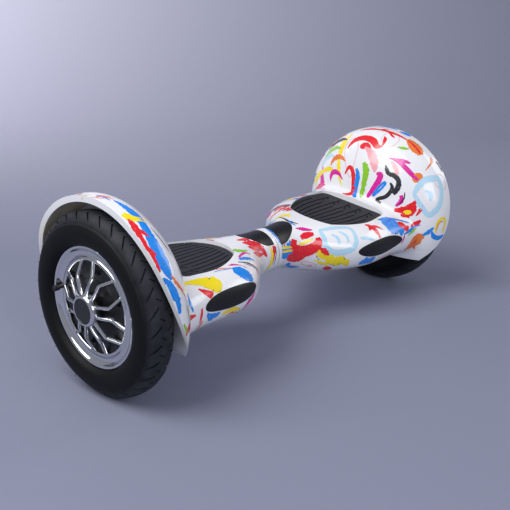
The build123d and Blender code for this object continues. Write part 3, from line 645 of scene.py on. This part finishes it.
PRINT_COLOURS = {
    "blue": "#0A8CF0",
    "red": "#EE1122",
    "yellow": "#FFE600",
    "green": "#8CCB22",
    "magenta": "#E0119C",
    "orange": "#F28030",
    "black": "#1B1B22",
    "pale": "#B9E1F6",
    "rose": "#F7A8B0",
}

# Left mudguard: the long blue sweep beside a red branching stroke, and chips at the front foot
brush(
    "blue", (-302, 101, 2), (-299, 109, 7), (-297, 116, 9), (-298, 121, 8), (-301, 128, 9),
    (-303, 137, 12), (-303, 146, 12), (-301, 153, 3),
)
brush("blue", (-312, 151, 2), (-308, 155, 10), (-305, 161, 13), (-303, 168, 9), (-303, 172, 1))
brush("yellow", (-312, 113, 6), (-309, 116, 9), (-304, 118, 7), (-297, 120, 2), (-289, 122, 1), rough=0.3)
brush("yellow", (-305, 117, 2), (-296, 118, 2), (-288, 120, 1), rough=0.5)
brush("red", (-312, 117, 2), (-312, 122, 7), (-315, 128, 7), (-316, 136, 6), (-315, 143, 7), (-313, 148, 2))
brush("red", (-312, 124, 4), (-307, 127, 4), (-303, 130, 1))
brush("red", (-316, 133, 3), (-311, 138, 4), (-309, 140, 3))
for k in range(4):
    brush(
        "black", (-291 + k, 125 + 2 * k, 0.6), (-288 + k, 130 + 2 * k, 1.2),
        (-285 + k, 136 + 2 * k, 0.4), rough=0.6,
    )
brush("orange", (-299, 151, 2), (-293, 156, 3), (-285, 160, 1), rough=0.5)
brush("orange", (-298, 154, 2), (-291, 158, 2), (-283, 163, 1), rough=0.5)
for k in range(3):
    brush("blue", (-240 - 3 * k, 163, 1), (-248 - 2 * k, 170, 2.4), (-250 - k, 178, 0.6), rough=0.4)
brush("green", (-284, 168, 1), (-281, 172, 3), (-279, 177, 1))
brush("green", (-297, 176, 5), (-293, 180, 7), (-289, 183, 2))
brush("red", (-247, 181, 2), (-266, 180, 6), (-285, 180, 6), (-292, 183, 1))
brush("red", (-232, 179, 2), (-235, 184, 4), (-238, 189, 1))
brush("orange", (-232, 188, 2), (-237, 193, 4), (-243, 197, 1), rough=0.4)
brush("yellow", (-262, 190, 1), (-276, 189, 5), (-284, 192, 1), rough=0.4)
brush("yellow", (-316, 66, 3), (-311, 71, 5), (-306, 75, 1), rough=0.4)
brush("red", (-315, 78, 3), (-312, 80, 3), (-309, 79, 1))
brush("orange", (-314, 94, 1), (-306, 92, 2), (-300, 100, 1), rough=0.6)
brush("blue", (-308, 90, 1), (-306, 95, 2.4), (-306, 100, 1), rough=0.5)
brush("rose", (-290, 108, 1), (-283, 118, 1.2), (-277, 128, 0.6), rough=0.3)
loop("rose", -262, 112, 12, 0.7)
loop("rose", -250, 140, 9, 0.7)
brush("yellow", (-319, 55, 1), (-318, 60, 3), (-317, 66, 3), (-314, 72, 1))
brush("yellow", (-319, 84, 1), (-316, 86, 3), (-312, 87, 1))
brush("green", (-318, 44, 2), (-317, 49, 5), (-318, 54, 2))
brush("red", (-313, 28, 4), (-309, 22, 6), (-305, 17, 3))
blot("red", -317, 77, 1.6)
blot("red", -316, 81, 2)
for k in range(3):
    brush("orange", (-318 + 6 * k, 91, 0.6), (-314 + 6 * k, 94, 1.2), (-309 + 5 * k, 97, 0.5), rough=0.5)

# Left platform and neck: a yellow blot, blue patches at both ends of the lens, the red splash
brush("yellow", (-233, 160, 4), (-216, 162, 9), (-202, 165, 15), (-192, 168, 18), (-187, 171, 6), rough=0.3)
brush("yellow", (-212, 167, 1), (-200, 170, 5), (-189, 174, 8), (-184, 177, 1), rough=0.5)
brush("red", (-222, 167, 2), (-214, 171, 7), (-205, 175, 9), (-198, 178, 2))
brush("blue", (-148, 163, 8), (-139, 166, 17), (-131, 171, 15), (-126, 176, 6))
brush("blue", (-222, 184, 6), (-214, 186, 16), (-206, 187, 16), (-200, 190, 5))
brush("yellow", (-193, 191, 2), (-182, 189, 6), (-170, 190, 5), (-158, 193, 2), rough=0.6)
brush("orange", (-184, 194, 1), (-172, 193, 3), (-160, 196, 1), rough=0.6)
brush("magenta", (-124, 184, 2), (-134, 187, 8), (-144, 191, 5), (-151, 195, 1), rough=0.3)
brush("orange", (-182, 157, 1), (-164, 158, 1.6), (-146, 161, 0.6), rough=0.5)
brush("blue", (-178, 159, 0.6), (-160, 160, 1.2), (-142, 162, 0.6), rough=0.5)
brush("magenta", (-146, 158, 1), (-136, 159, 3), (-126, 162, 1), (-120, 166, 1), rough=0.5)
brush("magenta", (-112, 154, 2), (-100, 151, 3), (-89, 150, 3), (-80, 155, 1), rough=0.4)
brush("blue", (-116, 156, 3), (-104, 157, 5), (-92, 160, 4), (-84, 165, 1), rough=0.4)
brush("green", (-104, 132, 2), (-99, 140, 7), (-90, 145, 6), (-78, 147, 1), rough=0.4)
brush("black", (-124, 158, 1), (-110, 162, 2.4), (-98, 168, 2.4), (-90, 174, 1), rough=0.4)
brush("black", (-116, 162, 0.6), (-100, 169, 1.4), (-92, 178, 0.6), rough=0.4)
for a, r in ((112, 7), (130, 9), (146, 8), (160, 6)):
    brush("red", (-68, a - 6, 2), (-58, a, r), (-46, a + 3, r - 1), (-36, a + 6, 1), rough=0.4)
brush("red", (-40, 118, 2), (-38, 138, 9), (-34, 158, 8), (-28, 176, 2), rough=0.3)
brush("rose", (-66, 168, 1), (-60, 180, 1.4), (-52, 190, 0.6))
brush("black", (-8, 92, 1), (-7, 130, 1.6), (-8, 170, 1.2), (-12, 205, 0.8), rough=0.3)
brush("red", (-12, 105, 2), (-10, 135, 3), (-11, 165, 3.4), (-16, 200, 1), rough=0.3)
brush("yellow", (-17, 150, 1), (-16, 175, 3.4), (-20, 205, 4), (-26, 222, 1), rough=0.3)
brush("red", (-98, 52, 2), (-95, 64, 5), (-97, 76, 2), rough=0.4)
brush("yellow", (-92, 44, 2), (-86, 49, 5), (-78, 54, 2), rough=0.4)
loop("rose", -160, 205, 9, 0.7)

# Right neck and platform: a striped blue patch, the thick red hoop, and a splash of yellow
brush("blue", (8, 78, 1), (5, 105, 3), (6, 136, 4), (7, 160, 2), rough=0.2)
brush("red", (12, 118, 1), (12, 145, 3), (14, 165, 2), rough=0.3)
brush("black", (17, 100, 0.6), (15, 130, 1.4), (14, 150, 0.8), rough=0.3)
brush("blue", (6, 174, 18), (16, 176, 21), (26, 179, 19), (33, 182, 6), rough=0.12)
brush("yellow", (6, 168, 2), (18, 171, 3), (31, 175, 2), rough=0.1)
brush("yellow", (6, 178, 2), (18, 181, 3), (31, 184, 2), rough=0.1)
brush(
    "red", (37, 157, 7), (33, 170, 9), (36, 183, 12), (47, 190, 14), (60, 184, 13), (69, 174, 10),
    (71, 166, 5), rough=0.08,
)
brush("red", (48, 158, 5), (58, 156, 8), (69, 158, 4), rough=0.12)
brush("yellow", (42, 172, 2), (52, 170, 4), (64, 167, 2), rough=0.2)
brush("red", (20, 199, 6), (30, 204, 11), (41, 205, 12), (51, 198, 5), rough=0.2)
brush("red", (69, 183, 2), (75, 188, 7), (80, 193, 2), rough=0.3)
brush("blue", (24, 236, 3), (29, 226, 6), (33, 233, 4), (41, 236, 5), (50, 230, 2), rough=0.3)
brush("yellow", (78, 199, 6), (88, 202, 17), (98, 202, 20), (108, 200, 9), rough=0.3)
for a in (189, 193, 197, 207):
    brush("yellow", (64, a - 2, 1), (74, a, 5), (86, a + 3, 6), rough=0.4)
for k in range(7):
    blot("black", 66 + 5 * k + 3 * math.sin(4 * k), 198 + 5 * math.sin(7 * k), 0.8)
blot("red", 87, 215, 5, 1.3)
loop("rose", 60, 216, 11, 0.8)
blot("rose", 62, 218, 3)
brush(
    "pale", (81, 155, 3), (79, 168, 6), (77, 180, 6), (85, 188, 7), (101, 187, 7), (115, 182, 6),
    (124, 174, 5), (128, 165, 4), (112, 160, 5), (95, 157, 5), (81, 155, 3), rough=0.12,
)
brush("pale", (92, 166, 2), (97, 172, 4), (94, 179, 2), rough=0.2)
brush("pale", (106, 165, 2), (111, 171, 4), (108, 178, 2), rough=0.2)
brush("pale", (130, 176, 3), (146, 178, 4), (158, 182, 1), rough=0.3)
brush("red", (160, 166, 2), (166, 169, 6), (169, 174, 6), (168, 181, 2), rough=0.2)
brush("red", (158, 172, 2), (165, 170, 5), (178, 171, 4), (186, 175, 1), rough=0.2)
brush("blue", (199, 168, 8), (207, 171, 20), (216, 176, 24), (226, 179, 16), (233, 178, 4), rough=0.25)
brush("blue", (196, 166, 2), (215, 167, 4), (236, 172, 3), (250, 176, 1), rough=0.3)
brush("blue", (229, 184, 1), (245, 182, 4), (262, 178, 1), rough=0.3)
brush("red", (228, 178, 2), (233, 175, 7), (239, 180, 7), (245, 178, 2), rough=0.2)
brush("red", (250, 180, 3), (258, 177, 6), (262, 174, 2), rough=0.3)
brush("green", (238, 186, 1), (250, 183, 3), (258, 181, 1), rough=0.3)
brush("orange", (243, 203, 4), (250, 196, 12), (258, 191, 15), (266, 187, 6), rough=0.2)
brush("red", (242, 202, 1), (251, 195, 3), (260, 190, 2), rough=0.2)
brush("blue", (124, 200, 4), (134, 199, 13), (145, 198, 13), (154, 195, 3), rough=0.12)
brush("magenta", (50, 130, 1), (58, 138, 5), (66, 146, 4), (72, 150, 1), rough=0.5)
brush("magenta", (223, 192, 1), (228, 188, 2.4), (231, 184, 1), rough=0.3)
brush("black", (66, 48, 1), (60, 76, 3), (57, 96, 4), (62, 120, 1), rough=0.3)
brush("blue", (60, 88, 1), (54, 108, 3), (56, 122, 1), rough=0.4)
brush("rose", (160, 196, 0.6), (185, 200, 1), (210, 196, 0.6))
for a in (24, 31, 38, 45):
    brush("red", (92, a, 2), (103, a + 3, 6), (118, a + 6, 2), rough=0.4)
brush("yellow", (70, 76, 1), (76, 66, 4), (84, 62, 1), rough=0.3)
brush("blue", (148, 28, 2), (156, 30, 7), (166, 33, 2), rough=0.3)
brush("yellow", (176, 162, 1), (188, 163, 3), (198, 165, 1), rough=0.4)

# Right mudguard: the red swoosh and the long red arc on top, then a row of brush marks
brush("yellow", (256, 60, 3), (262, 62, 8), (270, 64, 11), (277, 67, 7), (282, 71, 2), rough=0.4)
brush("yellow", (258, 60, 3), (251, 58, 6), (245, 56, 5), (240, 54, 1), rough=0.4)
brush("yellow", (260, 24, 2), (258, 34, 5), (254, 43, 6), (250, 50, 1), rough=0.4)
brush("yellow", (279, 6, 1), (270, 18, 4), (262, 28, 5), (256, 38, 1), rough=0.5)
brush(
    "red", (262, 70, 2), (267, 73, 5), (271, 77, 7), (273, 84, 8), (271, 92, 9), (266, 98, 8),
    (268, 102, 3), (277, 101, 5), (281, 99, 1), rough=0.06,
)
brush("red", (262, 83, 4), (263, 86, 9), (264, 90, 7), (262, 94, 1), rough=0.2)
brush("rose", (262, 88, 2), (259, 94, 8), (255, 100, 12), (250, 106, 9), (247, 109, 2), rough=0.2)
brush(
    "red", (289, 76, 1), (292, 84, 4), (293, 92, 3), (294, 101, 5), (296, 111, 3), (295, 120, 3),
    (292, 128, 2), rough=0.12,
)
brush("red", (292, 90, 1), (297, 94, 3), (299, 97, 1), rough=0.2)
brush("red", (293, 98, 1), (288, 103, 3), (286, 106, 1), rough=0.2)
brush("orange", (299, 113, 6), (297, 118, 15), (295, 123, 16), (292, 128, 8), rough=0.15)
brush("red", (297, 114, 1), (296, 120, 3), (294, 127, 2), rough=0.1)
brush("blue", (312, 86, 2), (315, 92, 5), (314, 100, 2), rough=0.3)
brush("blue", (310, 103, 3), (313, 107, 8), (314, 111, 3), rough=0.2)
brush("yellow", (300, 66, 2), (302, 72, 5), (300, 78, 1), rough=0.3)
brush("magenta", (261, 113, 1), (264, 121, 5), (265, 128, 6), (266, 135, 6), (268, 141, 5), rough=0.1)
brush("magenta", (264, 119, 3), (268, 124, 5), (272, 129, 2), rough=0.1)
brush("rose", (260, 117, 2), (259, 122, 6), (257, 128, 5), (256, 130, 1), rough=0.2)
blot("orange", 270, 141, 6)
brush("magenta", (266, 138, 3), (268, 141, 4), (269, 143, 1), rough=0.1)
brush(
    "black", (255, 115, 2), (253, 119, 5), (252, 123, 5), (254, 129, 6), (254, 135, 6),
    (251, 140, 7), (247, 143, 5), rough=0.15,
)
brush("red", (244, 66, 2), (247, 74, 5), (243, 80, 6), (236, 80, 6), (231, 70, 5), (229, 58, 2), rough=0.15)
brush("blue", (246, 84, 3), (242, 88, 7), (236, 86, 6), (232, 90, 5), (231, 96, 2), rough=0.2)
brush("green", (250, 92, 5), (246, 98, 9), (241, 101, 7), (236, 105, 5), (233, 108, 1), rough=0.25)
brush("magenta", (247, 112, 3), (248, 117, 7), (243, 120, 8), (238, 120, 5), (236, 123, 2), rough=0.15)
loop("blue", 243, 127, 4, 3, 1.1)
brush("black", (249, 131, 2), (248, 137, 5), (243, 141, 5), (239, 137, 4), (239, 146, 3), rough=0.15)
brush("magenta", (251, 148, 4), (250, 153, 6), (246, 157, 3), rough=0.4)
brush("black", (254, 147, 1), (252, 152, 1.6), (248, 156, 1), rough=0.3)
brush("red", (244, 161, 4), (250, 163, 8), (257, 160, 7), (260, 157, 2), rough=0.3)
brush("red", (246, 168, 3), (252, 168, 8), (257, 164, 7), (259, 161, 2), rough=0.3)
blot("yellow", 252, 166, 3)
brush("red", (258, 170, 1), (262, 166, 4), (265, 162, 1), rough=0.4)
brush(
    "pale", (260, 151, 4), (267, 147, 7), (276, 145, 8), (287, 146, 8), (297, 148, 7),
    (294, 156, 6), (288, 163, 6), (278, 168, 7), (269, 170, 6), (263, 161, 6), (260, 151, 4),
    rough=0.1,
)
brush("pale", (272, 152, 3), (276, 156, 6), (274, 160, 3), rough=0.2)
brush("yellow", (279, 184, 2), (281, 177, 3), (288, 174, 3), (294, 176, 3), (291, 184, 2), rough=0.1)
brush("orange", (280, 182, 1), (283, 177, 1.6), (290, 176, 1), rough=0.2)
brush("blue", (265, 187, 2), (270, 184, 5), (276, 180, 2), rough=0.2)
brush("blue", (274, 183, 2), (278, 187, 6), (286, 188, 6), (293, 186, 2), rough=0.2)
brush("black", (314, 136, 3), (316, 140, 5), (315, 144, 2), rough=0.2)
brush("orange", (283, 139, 1), (294, 137, 2), (303, 135, 4), (309, 132, 2), rough=0.8)
brush("red", (247, 194, 1), (256, 197, 3), (262, 201, 1), rough=0.4)
brush("green", (276, 113, 1), (280, 117, 4), (284, 120, 1), rough=0.3)
loop("rose", 258, 74, 16, 0.8)
loop("rose", 281, 104, 14, 0.7)
loop("rose", 300, 150, 12, 0.7)

# Both backs and undersides: the same sort of marks, laid out again with the colours shifted
NEXT = ["red", "blue", "yellow", "magenta", "green", "orange", "black", "pale"]
for side in (-1, 1):
    for k in range(26):
        along = 44 + 9.4 * k
        around = -34 + 96 * abs(math.sin(2.3 * k + side)) * (0.62 if along > 90 else 0.9)
        lean = 13 * math.sin(1.7 * k + 2 * side)
        width = 5 + 6 * abs(math.sin(3.9 * k))
        colour = NEXT[(3 * k + side) % len(NEXT)]
        brush(
            colour,
            (side * (along - 11), around - lean, 1.5),
            (side * (along - 3), around - 0.2 * lean, width),
            (side * (along + 5), around + 0.5 * lean, width * 0.8),
            (side * (along + 12), around + lean, 1.2),
            rough=0.3,
        )
    for k in range(14):
        along, around = 246 + 4.6 * k, 4 + 52 * abs(math.sin(1.9 * k + side))
        colour = NEXT[(5 * k + side + 2) % len(NEXT)]
        brush(
            colour,
            (side * along, around - 9, 1.5),
            (side * (along + 3), around - 2, 7),
            (side * (along + 1), around + 6, 6),
            (side * (along - 4), around + 12, 1.2),
            rough=0.3,
        )
    for k in range(12):
        along, around = 70 + 17 * k, 236 + 64 * abs(math.sin(2.9 * k + side))
        colour = NEXT[(3 * k + side + 5) % len(NEXT)]
        brush(
            colour,
            (side * (along - 10), around - 5, 1.5),
            (side * along, around, 9),
            (side * (along + 10), around + 6, 1.5),
            rough=0.3,
        )

for (colour, half), pieces in marks.items():
    ink = bpy.data.materials.get("print_" + colour)
    if ink is None:
        ink, skin = finish("print_" + colour, PRINT_COLOURS[colour], 0.25, coat=0.6)
        skin.inputs["Coat Roughness"].default_value = 0.08
        place = add(ink, "TexCoord")
        streaks = add(
            ink,
            "TexNoise",
            values={"Scale": 320.0, "Detail": 4.0},
            links={"Vector": place.outputs["Object"]},
        )
        thin = add(
            ink,
            "MapRange",
            values={"From Min": 0.58, "From Max": 0.8, "To Min": 0.0, "To Max": 0.2},
            links={"Value": streaks.outputs["Fac"]},
        )
        tint = add(
            ink,
            "Mix",
            settings={"data_type": "RGBA"},
            values={6: linear(PRINT_COLOURS[colour]), 7: linear("#F3F3F6")},
            links={0: thin.outputs["Result"]},
        )
        ink.node_tree.links.new(tint.outputs[2], skin.inputs["Base Color"])
    deselect()
    for mark in pieces:
        mark.select_set(True)
    bpy.context.view_layer.objects.active = pieces[0]
    if len(pieces) > 1:
        bpy.ops.object.join()
    film = settle("print_" + colour + "_" + half, ink, 60)
    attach(film, half + "_chassis")

# Foot pads: dark grey moulded rubber, ribbed for grip, lying in the shells' pockets.
pad_rubber, skin = finish("pad_rubber", "#1D1F26", 0.6)
grain(pad_rubber, skin, 2.0, 0.00006, 0.55, 0.75)
dress(pad_rubber, *each_side("foot_pad"))

# Light lenses and neck windows: smoked plastic with a satin face, clipped in from inside.
smoked, skin = finish("smoked_plastic", "#0E0F13", 0.4)
grain(smoked, skin, 1.5, 0.00002, 0.36, 0.48)
dress(smoked, *each_side("front_lens", "top_window"))

# Small fittings: the rubber seal in the neck, the cable through the pivot, and at the back of the
# left half the power button in its bush and the charging socket with its cap.
trim, skin = finish("black_trim", "#141416", 0.5)
grain(trim, skin, 1.5, 0.00003, 0.42, 0.58)
dress(trim, "neck_seal", "link_cable", "button_bush", "power_button", "charge_port", "charge_cap")

# Floor: a wide sheet of plain pale paper that curves up behind the board.
AZIMUTH, ELEVATION, DISTANCE = math.radians(-46.96), math.radians(19.12), 1.3415
FRONT, RUN, BEND, WALL_TOP = -4.0, 1.5, 1.1, 4.0
WIDTH, FLAT_ROWS, BEND_ROWS = 12, 2, 20
ROWS = FLAT_ROWS + BEND_ROWS + 1
deselect()
bpy.ops.mesh.primitive_grid_add(x_subdivisions=1, y_subdivisions=ROWS, size=WIDTH)
floor = bpy.context.object
floor.name = "floor"
for vertex in floor.data.vertices:
    row = round((vertex.co.y / WIDTH + 0.5) * ROWS)
    turn = math.radians(90 * min(max(row - FLAT_ROWS, 0), BEND_ROWS) / BEND_ROWS)
    if row < FLAT_ROWS:
        vertex.co.y = FRONT + row * (RUN - FRONT) / FLAT_ROWS
    else:
        vertex.co.y = RUN + BEND * math.sin(turn)
        vertex.co.z = BEND * (1 - math.cos(turn)) if row < ROWS else WALL_TOP
floor.rotation_euler = (0, 0, AZIMUTH)
bpy.ops.object.transform_apply(location=True, rotation=True, scale=True)
bpy.ops.object.shade_smooth_by_angle(angle=math.radians(40))
floor_mat, skin = finish("pale_backdrop_paper", "#82869B", 0.8)
grain(floor_mat, skin, 0.05, 0.0001, 0.75, 0.85)
floor.data.materials.append(floor_mat)


# Lights: a large soft box above and to the left, weaker ones at the front and the right, one more
# on the paper behind, and a pale room.
def soft_box(name, spot, target, size, power, colour):
    """An area light that faces a point."""
    deselect()
    bpy.ops.object.light_add(type="AREA", location=spot)
    lamp = bpy.context.object
    lamp.name = name
    lamp.data.shape = "RECTANGLE"
    lamp.data.size, lamp.data.size_y = size
    lamp.data.energy = power
    lamp.data.color = linear(colour)[:3]
    lamp.rotation_euler = (Vector(target) - Vector(spot)).to_track_quat("-Z", "Y").to_euler()


soft_box("key_light", (-1.2, 0.3, 1.7), (0, 0, 0.1), (1.4, 1.4), 34, "#FFFFFF")
soft_box("front_light", (-0.6, -1.9, 1.0), (0, 0, 0.1), (1.2, 0.8), 12, "#F4F6FF")
soft_box("right_light", (1.7, -0.8, 1.2), (0, 0, 0.1), (0.8, 1.0), 7, "#FFFFFF")
soft_box("paper_light", (-0.6, 2.2, 1.6), (1.1, 3.0, 1.3), (1.2, 1.2), 120, "#FFF6EC")
world = bpy.context.scene.world or bpy.data.worlds.new("room")
bpy.context.scene.world = world
world.use_nodes = True
room = world.node_tree.nodes["Background"]
room.inputs["Color"].default_value = linear("#D2D5DF")
room.inputs["Strength"].default_value = 0.42

# Camera: a 60.6 mm lens on a full frame, 1.34 m from the board, ahead and to the left of it.
aim = Vector((0.0, 0.0173, 0.1118))
toward = Vector(
    (
        math.sin(AZIMUTH) * math.cos(ELEVATION),
        -math.cos(AZIMUTH) * math.cos(ELEVATION),
        math.sin(ELEVATION),
    )
)
deselect()
bpy.ops.object.camera_add(location=aim + toward * DISTANCE)
camera = bpy.context.object
camera.rotation_euler = (-toward).to_track_quat("-Z", "Y").to_euler()
camera.data.lens = 60.6
camera.data.sensor_width = 36
bpy.context.scene.camera = camera
bpy.context.scene.view_settings.view_transform = "Standard"
